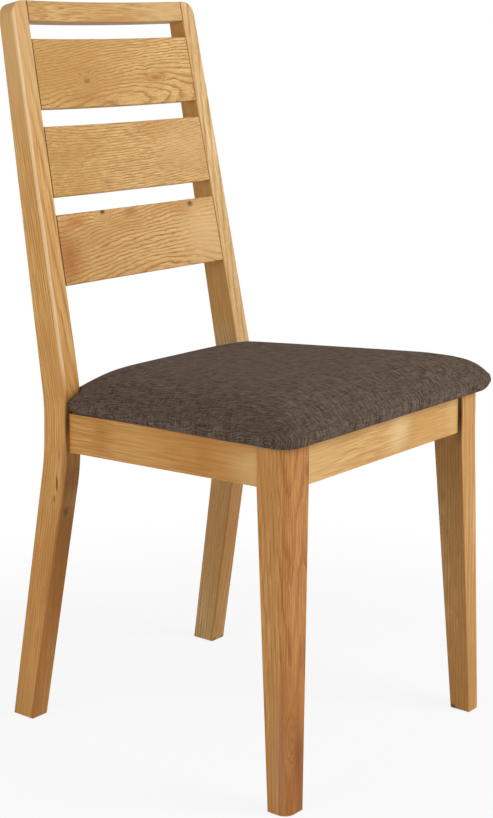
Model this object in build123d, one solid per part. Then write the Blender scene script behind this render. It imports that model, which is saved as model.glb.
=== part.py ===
from build123d import *
import math
import os

# Dining chair: an oak frame with a raked, slatted back and a screwed-on upholstered seat pad.
# Millimetres, +Z up. The sitter faces -Y, and left and right are the sitter's: left is +X.
# While the pieces are made, Y = 0 is the front face of the front legs. At the end the whole
# chair is moved so that the origin lies under the middle of its bounding box, on the floor.

# ---- whole chair ----
total_height = 982.0          # floor to the top of the back, before its edges are eased
seat_frame_depth = 384.5      # front of the front legs to the front of the back posts
seat_frame_height = 453.5     # floor to the top of the rails, at the front of the legs
seat_fall = 2.7               # degrees by which the seat frame falls towards the back
edge_radius = 1.5             # eased edges of the oak
joint_gap = 0.1               # glue line round a tenon, a dowel or a screw
end_gap = 1.0                 # room at the blind end of a mortise or a dowel hole

# ---- back posts: one piece each, rear leg below and stile above ----
post_width = 28.0             # across the chair
post_half_span_floor = 205.5  # middle of the chair to the outer face, at the floor
post_half_span_top = 185.0    # the same at the top, so the posts lean in a little
post_depth_foot = 37.0        # front to back at the floor
post_depth_seat = 42.0        # front to back of the upright block at the seat
post_depth_top = 26.8         # front to back at the top
foot_kick = 63.0              # how far the foot stands behind the block
back_rake = 105.0             # how far the top leans behind the block
block_front_low = 358.0       # upright block, front face: lower and upper ends
block_front_high = 460.5
block_rear_low = 373.0        # the same on the rear face
block_rear_high = 442.5
bend_radius = 280.0           # soft bends where the upright block ends
post_top_radius = 20.0        # rounded outer corner at the top

# ---- front legs ----
leg_half_span = 217.5         # middle of the chair to the outer face, at the seat frame
leg_size = 45.5               # square section at the seat frame
leg_foot_width = 32.0         # section at the floor, across the chair
leg_foot_depth = 30.5         # section at the floor, front to back
leg_foot_out = 5.4            # how far the foot stands outside the upper part
leg_foot_forward = 6.8        # how far it stands in front of it
leg_corner_radius = 15.0      # large round on the outer front corner
foot_chamfer = 0.8            # eased rim of the foot

# ---- glides under the feet ----
glide_height = 1.0
glide_diameter = 20.0
glide_chamfer = 0.3
glide_pin_diameter = 3.0
glide_pin_length = 14.0

# ---- seat rails ----
rail_height = 53.0            # side and rear rails
front_rail_height = 54.5      # the front rail is a little deeper
rail_thickness = 20.0
rail_setback = 6.2            # outer face of a rail behind the face of the leg or post
rear_rail_setback = 12.0      # front face of the rear rail behind the front of the posts

# ---- dowels ----
dowel_diameter = 8.0
dowel_length = 30.0           # half in each piece
rail_dowel_spacing = 34.0     # between the two dowels at each end of the front and side rails
rear_dowel_spacing = 14.0     # closer together, between the side rail's dowels
crest_dowel_spacing = 14.0

# ---- slats and crest rail of the back ----
crest_height = 28.5
crest_thickness = 25.0
slat_count = 3
slat_height = 96.0
slat_thickness = 14.0
slat_gap = 24.0
back_bow = 10.0               # how far the middle of a slat is bowed backwards
tenon_length = 14.0
tenon_thickness = 8.0
tenon_shoulder = 10.0         # between the tenon and the slat's long edges

# ---- corner blocks ----
block_reach = 85.0            # along each rail from the inside corner
block_height = 28.0
block_drop = 3.0              # top of a block below the top of the rails

# ---- screws ----
screw_diameter = 4.0
screw_head_diameter = 8.0
screw_head_height = 2.6
screw_recess_width = 1.0      # cross recess in the head
screw_recess_length = 5.0
screw_point_diameter = 1.0
screw_point_length = 4.0
block_screw_length = 32.0     # corner block to rail
block_screw_grip = 20.0       # thickness of block under its head
block_screw_room = 5.5        # radius of the counterbore round the head
seat_screw_length = 42.0      # corner block to seat board
seat_screw_inward = 30.0      # in from the two rails, clear of the other screws

# ---- seat pad ----
pad_front_overhang = 23.0     # in front of the front legs
pad_side_overhang = 24.0      # outside the front legs, before the corners are rounded
pad_rear_inset = 0.5          # inside the outer faces of the posts
pad_corner_radius = 36.0      # corners of its widest line, seen from above
pad_crown_radius = 8.0        # smallest corner radius, up on the crown
pad_height = 60.0             # top of the rails to the crown
pad_belly_height = 12.0       # height at which the pad is widest
pad_belly_tuck = 13.0         # how far the edge tucks in below that
pad_roll = 123.0              # width over which the edge rolls up to the crown
pad_post_gap = 0.6            # between the cloth and the posts
fabric_thickness = 1.5
fabric_turn_in = 14.0         # cloth turned in past the inner faces of the rails
turn_in_radius = 28.0         # round corners of the opening inside it
board_thickness = 12.0
board_edge_gap = 3.0          # between its edge and the cloth turned under it
board_post_gap = 7.0          # between the board and the posts
soft_gap = 0.3                # between the foam, the board and the cloth

# ---- dust cover and its staples ----
dust_cover_thickness = 0.8
dust_cover_gap = 3.0          # to the rails, legs and posts
staple_crown = 10.0
staple_wire = 1.0
staple_leg = 6.0
staple_inset = 5.0            # from the edge of the dust cover
staple_pitch = 48.0

# ---- values that follow from the ones above ----
fall = math.radians(seat_fall)
stile_rise = total_height - block_front_high
rake_angle = math.atan2(back_rake, stile_rise)
reach = 2.0 * total_height    # comfortably larger than any piece
front_rail_y = rail_setback + rail_thickness / 2
rear_rail_front = seat_frame_depth + rear_rail_setback
rear_rail_back = rear_rail_front + rail_thickness
pad_rear = rear_rail_back + fabric_thickness
board_inset = fabric_thickness + pad_belly_tuck + board_edge_gap


def frame_top(y):
    """Height of the top of the seat frame at depth y."""
    return seat_frame_height - y * math.tan(fall)


def post_outer(z):
    """Half width over the outer faces of the posts at height z."""
    share = z / total_height
    return post_half_span_floor + (post_half_span_top - post_half_span_floor) * share


post_half_span_seat = post_outer(frame_top(seat_frame_depth))


# ---- helpers ----

def outline(corners):
    """Face with the given corners, each (u, v) or (u, v, radius of the round there)."""
    face = make_face(Polyline(*[(c[0], c[1]) for c in corners], close=True))
    for corner in corners:
        if len(corner) == 3 and corner[2] > 0:
            place = Vector(corner[0], corner[1], 0)
            vertex = min(face.vertices(), key=lambda item: (Vector(*item) - place).length)
            face = fillet(vertex, corner[2])
    return face


def from_front(corners):
    """Prism along Y of an outline drawn as (x, z)."""
    return extrude(Plane.XZ * outline(corners), amount=reach, both=True)


def from_side(corners):
    """Prism along X of an outline drawn as (y, z)."""
    return extrude(Plane.YZ * outline(corners), amount=reach, both=True)


def from_above(corners):
    """Upright prism of an outline drawn as (x, y)."""
    return extrude(outline(corners), amount=reach)


seat_plane = Plane(
    origin=(0, 0, seat_frame_height),
    x_dir=(1, 0, 0),
    z_dir=(0, math.sin(fall), math.cos(fall)),
)


def seat_band(bottom, top):
    """Slab between two levels measured square to the sloping top of the seat frame."""
    return extrude(seat_plane.offset(bottom) * Rectangle(reach, reach), amount=top - bottom)


def seat_point(x, y, level):
    """Point above or below the seat frame's top, level measured square to it."""
    return Vector(x, y, frame_top(y)) + seat_plane.z_dir * level


def rod(middle, direction, diameter, length):
    """Round rod centred on a point."""
    return Plane(origin=middle, z_dir=direction) * Cylinder(diameter / 2, length)


def mirrored(shape):
    return mirror(shape, about=Plane.YZ)


def both_sides(shapes):
    """The shapes with their mirror images."""
    return list(shapes) + [mirrored(shape) for shape in shapes]


def cut(shape, tools):
    """Take each tool out of the shape."""
    for tool in tools:
        shape = shape - tool
    return shape


def ease(shape, radius, wanted):
    """Round the edges for which wanted(edge) is true."""
    edges = [edge for edge in shape.edges() if wanted(edge)]
    return fillet(edges, radius) if edges else shape


def is_long(edge, least):
    return edge.length > least


# ---- back posts ----

def post_blank():
    """Side view crossed with front view, edges eased, before its joints are cut."""
    top_drop = post_depth_top * math.tan(rake_angle)
    side = [
        (seat_frame_depth + foot_kick, glide_height),
        (seat_frame_depth, block_front_low, bend_radius),
        (seat_frame_depth, block_front_high, bend_radius),
        (seat_frame_depth + back_rake, total_height),
        (seat_frame_depth + back_rake + post_depth_top, total_height - top_drop),
        (seat_frame_depth + post_depth_seat, block_rear_high, bend_radius),
        (seat_frame_depth + post_depth_seat, block_rear_low, bend_radius),
        (seat_frame_depth + foot_kick + post_depth_foot, glide_height),
    ]
    front = [
        (post_half_span_floor, 0),
        (post_half_span_top, total_height),
        (post_half_span_top - post_width, total_height),
        (post_half_span_floor - post_width, 0),
    ]
    post = from_side(side) & from_front(front)

    def is_top_corner(edge):
        middle = edge.position_at(0.5)
        outer = middle.X > post_half_span_top - edge_radius
        return outer and middle.Z > total_height - top_drop

    post = ease(post, post_top_radius, is_top_corner)
    return ease(post, edge_radius, lambda edge: is_long(edge, post_top_radius))


# ---- front legs ----

def leg_section(outer, front, width, depth, level):
    """Section of the left leg at a level; its outer front corner has the large round."""
    corners = [
        (outer, front, leg_corner_radius),
        (outer, front + depth, edge_radius),
        (outer - width, front + depth, edge_radius),
        (outer - width, front, edge_radius),
    ]
    return Plane.XY.offset(level) * outline(corners)


def leg_blank():
    """Leg that is square at the rails and tapers below them, leaning out a little."""
    taper_top = frame_top(leg_size) - rail_height
    foot_outer = leg_half_span + leg_foot_out
    foot = leg_section(foot_outer, -leg_foot_forward, leg_foot_width, leg_foot_depth, glide_height)
    knee = leg_section(leg_half_span, 0, leg_size, leg_size, taper_top)
    taper = loft([foot, knee], ruled=True)
    rim = taper.edges().group_by(Axis.Z)[0]
    block = extrude(knee, amount=reach) & seat_band(-reach, 0)
    return chamfer(rim, foot_chamfer) + block


# ---- seat rails ----

def side_rail_line():
    """Outer face of the left side rail, seen from above: its front and rear ends."""
    front = Vector(leg_half_span - rail_setback, leg_size)
    rear = Vector(post_half_span_seat - rail_setback, seat_frame_depth)
    return front, rear


outer_front, outer_rear = side_rail_line()
rail_direction = (outer_rear - outer_front).normalized()
rail_shift = Vector(rail_thickness / rail_direction.Y, 0)
inner_front = outer_front - rail_shift
inner_rear = outer_rear - rail_shift


def inner_edge_x(y):
    """Inner face of the left side rail at depth y."""
    share = (y - inner_front.Y) / (inner_rear.Y - inner_front.Y)
    return inner_front.X + (inner_rear.X - inner_front.X) * share


def rail_stock(height=rail_height):
    """The band of the seat frame that all four rails are cut from."""
    return seat_band(-height, 0)


def eased_rail(rail, height=rail_height):
    """Ease the two lower long edges, which a hand can touch."""
    def is_lower(edge):
        middle = edge.position_at(0.5)
        level = (middle - seat_point(0, middle.Y, -height)).Z
        return is_long(edge, 2 * height) and level < edge_radius
    return ease(rail, edge_radius, is_lower)


def side_rail():
    corners = [outer_front, outer_rear, inner_rear, inner_front]
    return eased_rail(from_above([(c.X, c.Y) for c in corners]) & rail_stock())


def front_rail():
    half = leg_half_span - leg_size
    near = rail_setback
    far = rail_setback + rail_thickness
    plan = from_above([(-half, near), (half, near), (half, far), (-half, far)])
    return eased_rail(plan & rail_stock(front_rail_height), front_rail_height)


def between_posts(extra):
    """Everything between the inner faces of the posts, widened by extra on each side."""
    low = post_half_span_floor - post_width + extra
    high = post_half_span_top - post_width + extra
    return from_front([(-low, 0), (low, 0), (high, total_height), (-high, total_height)])


def rear_rail():
    near = rear_rail_front
    far = rear_rail_back
    half = post_half_span_floor
    plan = from_above([(-half, near), (half, near), (half, far), (-half, far)])
    return eased_rail(plan & rail_stock() & between_posts(0))


# ---- dowels ----

def dowel_pair(middle, direction, up, spacing, grow=0.0, longer=0.0):
    """Two dowels side by side across a joint; grow and longer make their holes."""
    offsets = (-spacing / 2, spacing / 2)
    size = dowel_diameter + 2 * grow
    return [rod(middle + up * offset, direction, size, dowel_length + 2 * longer) for offset in offsets]


def frame_dowels(grow=0.0, longer=0.0):
    """Dowels of the left half of the seat frame: front rail, side rail (both ends), rear rail."""
    up = seat_plane.z_dir
    middle_level = -rail_height / 2
    half_shift = rail_shift * 0.5
    front = seat_point(leg_half_span - leg_size, front_rail_y, middle_level)
    side_front = outer_front - half_shift
    side_rear = outer_rear - half_shift
    rear_y = (rear_rail_front + rear_rail_back) / 2
    rear_x = post_outer(frame_top(rear_y) - rail_height / 2) - post_width
    joints = [
        (front, Vector(1, 0, 0), rail_dowel_spacing),
        (seat_point(side_front.X, side_front.Y, middle_level), seat_plane.y_dir, rail_dowel_spacing),
        (seat_point(side_rear.X, side_rear.Y, middle_level), seat_plane.y_dir, rail_dowel_spacing),
        (seat_point(rear_x, rear_y, middle_level), Vector(1, 0, 0), rear_dowel_spacing),
    ]
    found = []
    for middle, direction, spacing in joints:
        found += dowel_pair(middle, direction, up, spacing, grow, longer)
    return found


# ---- back: crest rail and slats ----

rake_down = Vector(0, -math.sin(rake_angle), -math.cos(rake_angle))
rake_back = Vector(0, math.cos(rake_angle), -math.sin(rake_angle))
back_top = Vector(0, seat_frame_depth + back_rake, total_height)
back_plane = Plane(origin=back_top, x_dir=(-1, 0, 0), z_dir=rake_down)


def back_half_span(top, height):
    """Half the clear width between the posts, at the middle of a piece of the back."""
    z = (back_top + rake_down * (top + height / 2)).Z
    return post_outer(z) - post_width


def bowed_bar(top, height, thickness):
    """Bar bowed backwards on an arc, its front flush with the posts where it meets them."""
    half = back_half_span(top, height)
    radius = (half ** 2 + back_bow ** 2) / (2 * back_bow)
    end = half + post_width / 2

    def bow(x):
        return back_bow - radius + math.sqrt(radius ** 2 - x ** 2)

    front = ThreePointArc((-end, bow(end)), (0, back_bow), (end, bow(end)))
    back = bow(end) + thickness
    rear = ThreePointArc((-end, back), (0, back_bow + thickness), (end, back))
    ends = [Line(front @ 0, rear @ 0), Line(front @ 1, rear @ 1)]
    section = make_face([front, rear] + ends)
    bar = extrude(back_plane.offset(top) * section, amount=height) & between_posts(0)
    return ease(bar, edge_radius, lambda edge: is_long(edge, half))


def slat_top(index):
    """Distance of a slat's upper edge below the top of the back, along the rake."""
    return crest_height + slat_gap + index * (slat_height + slat_gap)


def slat_tenon(index, grow=0.0, longer=0.0):
    """Tenon at the left end of a slat; grow and longer make its mortise."""
    top = slat_top(index) + tenon_shoulder - grow
    height = slat_height - 2 * tenon_shoulder + 2 * grow
    half = back_half_span(slat_top(index), slat_height)
    near = (slat_thickness - tenon_thickness) / 2 - grow
    far = (slat_thickness + tenon_thickness) / 2 + grow
    root = half - tenon_length
    tip = half + 2 * tenon_length
    # the plane's own x runs towards the sitter's right, so the left end is negative
    section = outline([(-root, near), (-tip, near), (-tip, far), (-root, far)])
    block = extrude(back_plane.offset(top) * section, amount=height)
    return block & between_posts(tenon_length + longer)


def slat(index):
    body = bowed_bar(slat_top(index), slat_height, slat_thickness)
    tenon = slat_tenon(index)
    return body + tenon + mirrored(tenon)


def crest_dowels(grow=0.0, longer=0.0):
    """The two dowels at the left end of the crest rail."""
    middle = back_top + rake_down * (crest_height / 2) + rake_back * (crest_thickness / 2)
    half = back_half_span(0, crest_height)
    joint = middle + Vector(half, 0, 0)
    return dowel_pair(joint, Vector(1, 0, 0), rake_down, crest_dowel_spacing, grow, longer)


# ---- screws ----

def screw(head, direction, length, grow=0.0):
    """Countersunk wood screw driven along direction; grow makes its hole."""
    shank = length - screw_head_height
    head_cone = Cone(screw_diameter / 2 + grow, screw_head_diameter / 2 + grow, screw_head_height)
    body = Pos(0, 0, -screw_head_height / 2) * head_cone
    straight = shank - screw_point_length
    body += Pos(0, 0, -screw_head_height - straight / 2) * Cylinder(screw_diameter / 2 + grow, straight)
    point = Cone(screw_point_diameter / 2 + grow, screw_diameter / 2 + grow, screw_point_length)
    body += Pos(0, 0, -screw_head_height - straight - screw_point_length / 2) * point
    if grow == 0:
        for turn in (0, 90):
            slot = Box(screw_recess_length, screw_recess_width, screw_head_height)
            body -= Rot(0, 0, turn) * slot
    return Plane(origin=head, z_dir=-direction) * body


def block_screw_places():
    """Head and direction of the screws of the left blocks: two in front, two behind."""
    level = -block_drop - block_height / 2
    along = block_reach - block_screw_grip - screw_head_height
    front_y = rail_setback + rail_thickness
    front_x = inner_edge_x(front_y)
    rear_x = inner_edge_x(rear_rail_front)
    side_front_y = front_y + along
    side_rear_y = rear_rail_front - along
    grip = block_screw_grip
    back = Vector(0, 1, 0)
    out = Vector(1, 0, 0)
    return [
        (seat_point(front_x - along, front_y + grip, level), -back),
        (seat_point(inner_edge_x(side_front_y) - grip, side_front_y, level), out),
        (seat_point(rear_x - along, rear_rail_front - grip, level), back),
        (seat_point(inner_edge_x(side_rear_y) - grip, side_rear_y, level), out),
    ]


def block_screws(grow=0.0):
    return [screw(head, way, block_screw_length, grow) for head, way in block_screw_places()]


def counterbores():
    """Room for the heads and the driver, open towards the inside of the seat frame."""
    found = []
    for head, way in block_screw_places():
        middle = head - way * (block_reach / 2)
        found.append(rod(middle, way, 2 * block_screw_room, block_reach))
    return found


def seat_screw_places():
    """Heads of the two left screws that hold the pad, on the undersides of the blocks."""
    front_y = rail_setback + rail_thickness + seat_screw_inward
    rear_y = rear_rail_front - seat_screw_inward
    level = -block_drop - block_height
    return [
        seat_point(inner_edge_x(front_y) - seat_screw_inward, front_y, level),
        seat_point(inner_edge_x(rear_y) - seat_screw_inward, rear_y, level),
    ]


def seat_screws(grow=0.0):
    return [screw(head, seat_plane.z_dir, seat_screw_length, grow) for head in seat_screw_places()]


# ---- corner blocks ----

def leg_corner(grow):
    """Plan of the left front leg, grown, as an upright prism."""
    inner = leg_half_span - leg_size - grow
    depth = leg_size + grow
    return from_above([(inner, -reach), (reach, -reach), (reach, depth), (inner, depth)])


def post_room(grow):
    """Room that the two posts take up at the seat, grown."""
    front = seat_frame_depth - grow
    behind = from_above([(-reach, front), (reach, front), (reach, reach), (-reach, reach)])
    return behind - between_posts(-grow)


def front_block():
    y = rail_setback + rail_thickness
    corner_x = inner_edge_x(y)
    plan = [(corner_x - block_reach, y), (corner_x, y), (inner_edge_x(y + block_reach), y + block_reach)]
    block = from_above(plan) & seat_band(-block_drop - block_height, -block_drop)
    return finished_block(block - leg_corner(joint_gap))


def rear_block():
    y = rear_rail_front
    corner_x = inner_edge_x(y)
    plan = [(corner_x - block_reach, y), (corner_x, y), (inner_edge_x(y - block_reach), y - block_reach)]
    block = from_above(plan) & seat_band(-block_drop - block_height, -block_drop)
    return finished_block(block - post_room(joint_gap))


def finished_block(block):
    """Drill the block for its screws."""
    return cut(block, block_screws(joint_gap) + counterbores() + seat_screws(joint_gap))


# ---- seat pad ----

def pad_outline(inset):
    """Corners of the pad seen from above, inset from its widest line."""
    front = -pad_front_overhang + inset
    rear = pad_rear - inset
    half_front = leg_half_span + pad_side_overhang
    half_post = post_half_span_seat - pad_rear_inset
    slope = (half_post - half_front) / (seat_frame_depth + pad_front_overhang)
    along = inset * math.sqrt(1 + slope ** 2)
    near = half_front + slope * (front + pad_front_overhang) - along
    far = half_front + slope * (rear + pad_front_overhang) - along
    radius = max(pad_corner_radius - inset, pad_crown_radius)
    return [
        (-near, front, radius),
        (near, front, radius),
        (far, rear, radius),
        (-far, rear, radius),
    ]


def pad_section(inset, level):
    """Outline of the pad as a wire at a level above the rails."""
    shift = seat_plane.origin + seat_plane.z_dir * level
    plane = Plane(origin=shift, x_dir=(1, 0, 0), z_dir=seat_plane.z_dir)
    return plane * outline(pad_outline(inset))


def pad_body(skin):
    """Crowned pad, a quarter ellipse below its widest line and another above, less a skin."""
    below = pad_belly_height - skin
    above = pad_height - pad_belly_height - skin
    sections = []
    for degrees in (90, 60, 30, 0):
        angle = math.radians(degrees)
        tuck = pad_belly_tuck * (1 - math.cos(angle))
        sections.append(pad_section(skin + tuck, pad_belly_height - below * math.sin(angle)))
    for degrees in (15, 30, 45, 60, 75, 84):
        angle = math.radians(degrees)
        roll = pad_roll * (1 - math.cos(angle))
        sections.append(pad_section(skin + roll, pad_belly_height + above * math.sin(angle)))
    body = loft(sections, ruled=True)
    return body - post_room(pad_post_gap + skin)


def turned_in_opening():
    """Opening in the cloth under the board, inside the turned-in edges."""
    front_y = rail_setback + rail_thickness + fabric_turn_in
    rear_y = rear_rail_front - fabric_turn_in
    front_x = inner_edge_x(front_y) - fabric_turn_in
    rear_x = inner_edge_x(rear_y) - fabric_turn_in
    corners = [
        (-front_x, front_y, turn_in_radius),
        (front_x, front_y, turn_in_radius),
        (rear_x, rear_y, turn_in_radius),
        (-rear_x, rear_y, turn_in_radius),
    ]
    return from_above(corners) & seat_band(-fabric_thickness, 2 * fabric_thickness)


def seat_cover():
    shell = pad_body(0) - pad_body(fabric_thickness)
    return cut(shell, [turned_in_opening()] + staples(joint_gap))


def seat_board():
    plan = from_above(pad_outline(board_inset))
    board = plan & seat_band(fabric_thickness, fabric_thickness + board_thickness)
    holes = both_sides(seat_screws(joint_gap)) + staples(joint_gap)
    return cut(board, [post_room(board_post_gap)] + holes)


def seat_foam():
    """Foam over the board and round its edge, with a little room to the board and the cloth."""
    inner = pad_body(fabric_thickness + soft_gap) & seat_band(fabric_thickness + soft_gap, reach)
    room = from_above(pad_outline(board_inset - soft_gap))
    top = fabric_thickness + board_thickness + soft_gap
    return inner - (room & seat_band(-reach, top))


# ---- dust cover and staples ----

def dust_cover_plan(inset):
    """Corners of the dust cover's outline, inset from its edge."""
    gap = dust_cover_gap + inset
    front_y = rail_setback + rail_thickness + gap
    rear_y = rear_rail_front - gap
    return [
        (-inner_edge_x(front_y) + gap, front_y),
        (inner_edge_x(front_y) - gap, front_y),
        (inner_edge_x(rear_y) - gap, rear_y),
        (-inner_edge_x(rear_y) + gap, rear_y),
    ]


def dust_cover():
    sheet = from_above(dust_cover_plan(0)) & seat_band(-dust_cover_thickness, 0)
    corners = both_sides([leg_corner(dust_cover_gap)]) + [post_room(dust_cover_gap)]
    holes = both_sides(seat_screws(joint_gap)) + staples(joint_gap)
    return cut(sheet, corners + holes)


def staple(x, y, turn, grow):
    """Wire staple: a crown under the dust cover and two legs up into the board."""
    wire = staple_wire + 2 * grow
    crown = Box(staple_crown + 2 * grow, wire, wire)
    reach_up = staple_leg + 2 * grow
    legs = [Pos(side * (staple_crown - staple_wire) / 2, 0, reach_up / 2) * Box(wire, wire, reach_up)
            for side in (-1, 1)]
    shape = crown + legs[0] + legs[1]
    place = seat_point(x, y, -dust_cover_thickness - staple_wire / 2)
    return Plane(origin=place, x_dir=(1, 0, 0), z_dir=seat_plane.z_dir) * (Rot(0, 0, turn) * shape)


def staples(grow=0.0):
    """Staples round the dust cover, clear of its corners."""
    corners = [Vector(*c) for c in dust_cover_plan(staple_inset)]
    found = []
    for start, end in zip(corners, corners[1:] + corners[:1]):
        side = end - start
        count = round(side.length / staple_pitch) - 1
        turn = math.degrees(math.atan2(side.Y, side.X))
        for step in range(1, count):
            place = start + side * ((step + 0.5) / (count + 1))
            found.append(staple(place.X, place.Y, turn, grow))
    return found


# ---- glides ----

def glide(x, y, grow=0.0, longer=0.0):
    """Round glide with a pin that is driven up into the foot."""
    disc = Pos(x, y, glide_height / 2) * Cylinder(glide_diameter / 2, glide_height)
    rim = disc.edges().group_by(Axis.Z)[0]
    disc = chamfer(rim, glide_chamfer)
    length = glide_pin_length + longer
    pin = Pos(x, y, glide_height + length / 2) * Cylinder(glide_pin_diameter / 2 + grow, length)
    return disc + pin


def glide_places():
    """Middles of the left feet: front leg and post."""
    post_middle = seat_frame_depth + foot_kick + post_depth_foot / 2
    return [
        (leg_half_span + leg_foot_out - leg_foot_width / 2, leg_foot_depth / 2 - leg_foot_forward),
        (post_half_span_floor - post_width / 2, post_middle),
    ]


def pin_holes():
    return [glide(x, y, joint_gap, end_gap) for x, y in glide_places()]


# ---- the pieces ----

dowel_holes = frame_dowels(joint_gap, end_gap)
crest_holes = crest_dowels(joint_gap, end_gap)
mortises = [slat_tenon(index, joint_gap, end_gap) for index in range(slat_count)]

post = cut(post_blank(), dowel_holes + crest_holes + mortises + pin_holes())
leg = cut(leg_blank(), dowel_holes + pin_holes())
left_rail = cut(side_rail(), dowel_holes + block_screws(joint_gap))
block_in_front = front_block()
block_behind = rear_block()

pieces = {
    "post_left": post,
    "post_right": mirrored(post),
    "front_leg_left": leg,
    "front_leg_right": mirrored(leg),
    "rail_side_left": left_rail,
    "rail_side_right": mirrored(left_rail),
    "rail_front": cut(front_rail(), both_sides(dowel_holes + block_screws(joint_gap))),
    "rail_rear": cut(rear_rail(), both_sides(dowel_holes + block_screws(joint_gap))),
    "crest_rail": cut(bowed_bar(0, crest_height, crest_thickness), both_sides(crest_holes)),
    "corner_block_front_left": block_in_front,
    "corner_block_front_right": mirrored(block_in_front),
    "corner_block_rear_left": block_behind,
    "corner_block_rear_right": mirrored(block_behind),
    "frame_dowels": Compound(both_sides(frame_dowels())),
    "crest_dowels": Compound(both_sides(crest_dowels())),
    "block_screws": Compound(both_sides(block_screws())),
    "seat_screws": Compound(both_sides(seat_screws())),
    "foot_glides": Compound(both_sides([glide(x, y) for x, y in glide_places()])),
    "seat_board": seat_board(),
    "seat_foam": seat_foam(),
    "seat_cover": seat_cover(),
    "dust_cover": dust_cover(),
    "dust_cover_staples": Compound(staples()),
}
for index, name in enumerate(["slat_upper", "slat_middle", "slat_lower"][:slat_count]):
    pieces[name] = slat(index)

# ---- origin under the middle of the bounding box, and one file for each piece ----
box = Compound(list(pieces.values())).bounding_box()
to_origin = Pos(-(box.min.X + box.max.X) / 2, -(box.min.Y + box.max.Y) / 2, 0)
os.makedirs("parts", exist_ok=True)
for name, shape in pieces.items():
    export_step(to_origin * shape, f"parts/{name}.step")
print(f"{len(pieces)} pieces, overall {box.size.X:.1f} x {box.size.Y:.1f} x {box.size.Z:.1f} mm")
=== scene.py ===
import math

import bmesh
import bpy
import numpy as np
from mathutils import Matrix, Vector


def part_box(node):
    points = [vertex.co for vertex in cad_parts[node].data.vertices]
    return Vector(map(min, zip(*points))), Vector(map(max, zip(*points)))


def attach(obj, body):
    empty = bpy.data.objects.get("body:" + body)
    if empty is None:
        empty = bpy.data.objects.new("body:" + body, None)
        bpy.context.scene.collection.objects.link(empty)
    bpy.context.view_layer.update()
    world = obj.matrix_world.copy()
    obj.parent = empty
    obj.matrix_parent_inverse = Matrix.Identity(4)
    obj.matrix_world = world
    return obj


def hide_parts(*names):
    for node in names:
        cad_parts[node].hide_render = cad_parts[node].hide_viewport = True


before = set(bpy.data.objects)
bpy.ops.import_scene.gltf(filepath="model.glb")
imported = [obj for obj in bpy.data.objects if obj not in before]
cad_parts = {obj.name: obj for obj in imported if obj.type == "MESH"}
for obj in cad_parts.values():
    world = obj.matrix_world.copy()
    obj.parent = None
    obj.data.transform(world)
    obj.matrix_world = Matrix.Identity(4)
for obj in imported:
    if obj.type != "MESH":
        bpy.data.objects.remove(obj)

# %% [markdown]
# # A dining chair in oak with a padded seat
# The chair is a joined frame of solid oak with a drop-on seat pad. The joinery is already
# drawn as solids, one for each piece of wood, board, screw and glide, and they are the
# frame that everything here is built around. This lesson gives the pieces their timber,
# makes the upholstery as cloth, and sets up a plain studio to look at it in.
# All lengths are metres. X runs across the chair, Y from front to back, Z upwards.

scene = bpy.context.scene
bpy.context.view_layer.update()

# %% [markdown]
# ## The camera
# A portrait of a chair is taken from the front and to one side, a little above the seat,
# with a longish lens so that the legs don't splay. The camera looks down by less than
# seven degrees and its frame is shifted down for the rest, which keeps upright lines
# nearly upright. The depth of field stays off.

# %% Camera at a three-quarter view
CAMERA_PLACE = Vector((-1.79883, -1.46713, 0.95904))
CAMERA_TURN = math.radians(51.085)      # heading, from straight back towards the sitter's left
CAMERA_DIP = math.radians(6.7045)       # how far it looks down
LENS_MM = 76.27
LENS_SHIFT = -0.23

lens = bpy.data.cameras.new("studio_camera")
lens.lens = LENS_MM
lens.shift_y = LENS_SHIFT
camera = bpy.data.objects.new("studio_camera", lens)
scene.collection.objects.link(camera)
level_heading = Vector((math.sin(CAMERA_TURN), math.cos(CAMERA_TURN), 0))
heading = level_heading * math.cos(CAMERA_DIP) - Vector((0, 0, math.sin(CAMERA_DIP)))
camera.location = CAMERA_PLACE
camera.rotation_euler = heading.to_track_quat("-Z", "Y").to_euler()
scene.camera = camera
print("camera:", [round(v, 3) for v in camera.location], "lens", lens.lens, "mm")

# %% [markdown]
# ## Shader nodes in short words
# A material is a small network of nodes. Writing every node and link by hand takes pages,
# so one helper adds a node, feeds its sockets with numbers or with other nodes' results,
# and gives back the result. The floor and the surround are written with it too. A second
# helper builds on it for everything the chair is made of: one shader, and patterns that
# read Object coordinates. Those are the chair's own metres, so a grain line is as wide on
# a leg as on a slat.

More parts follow.
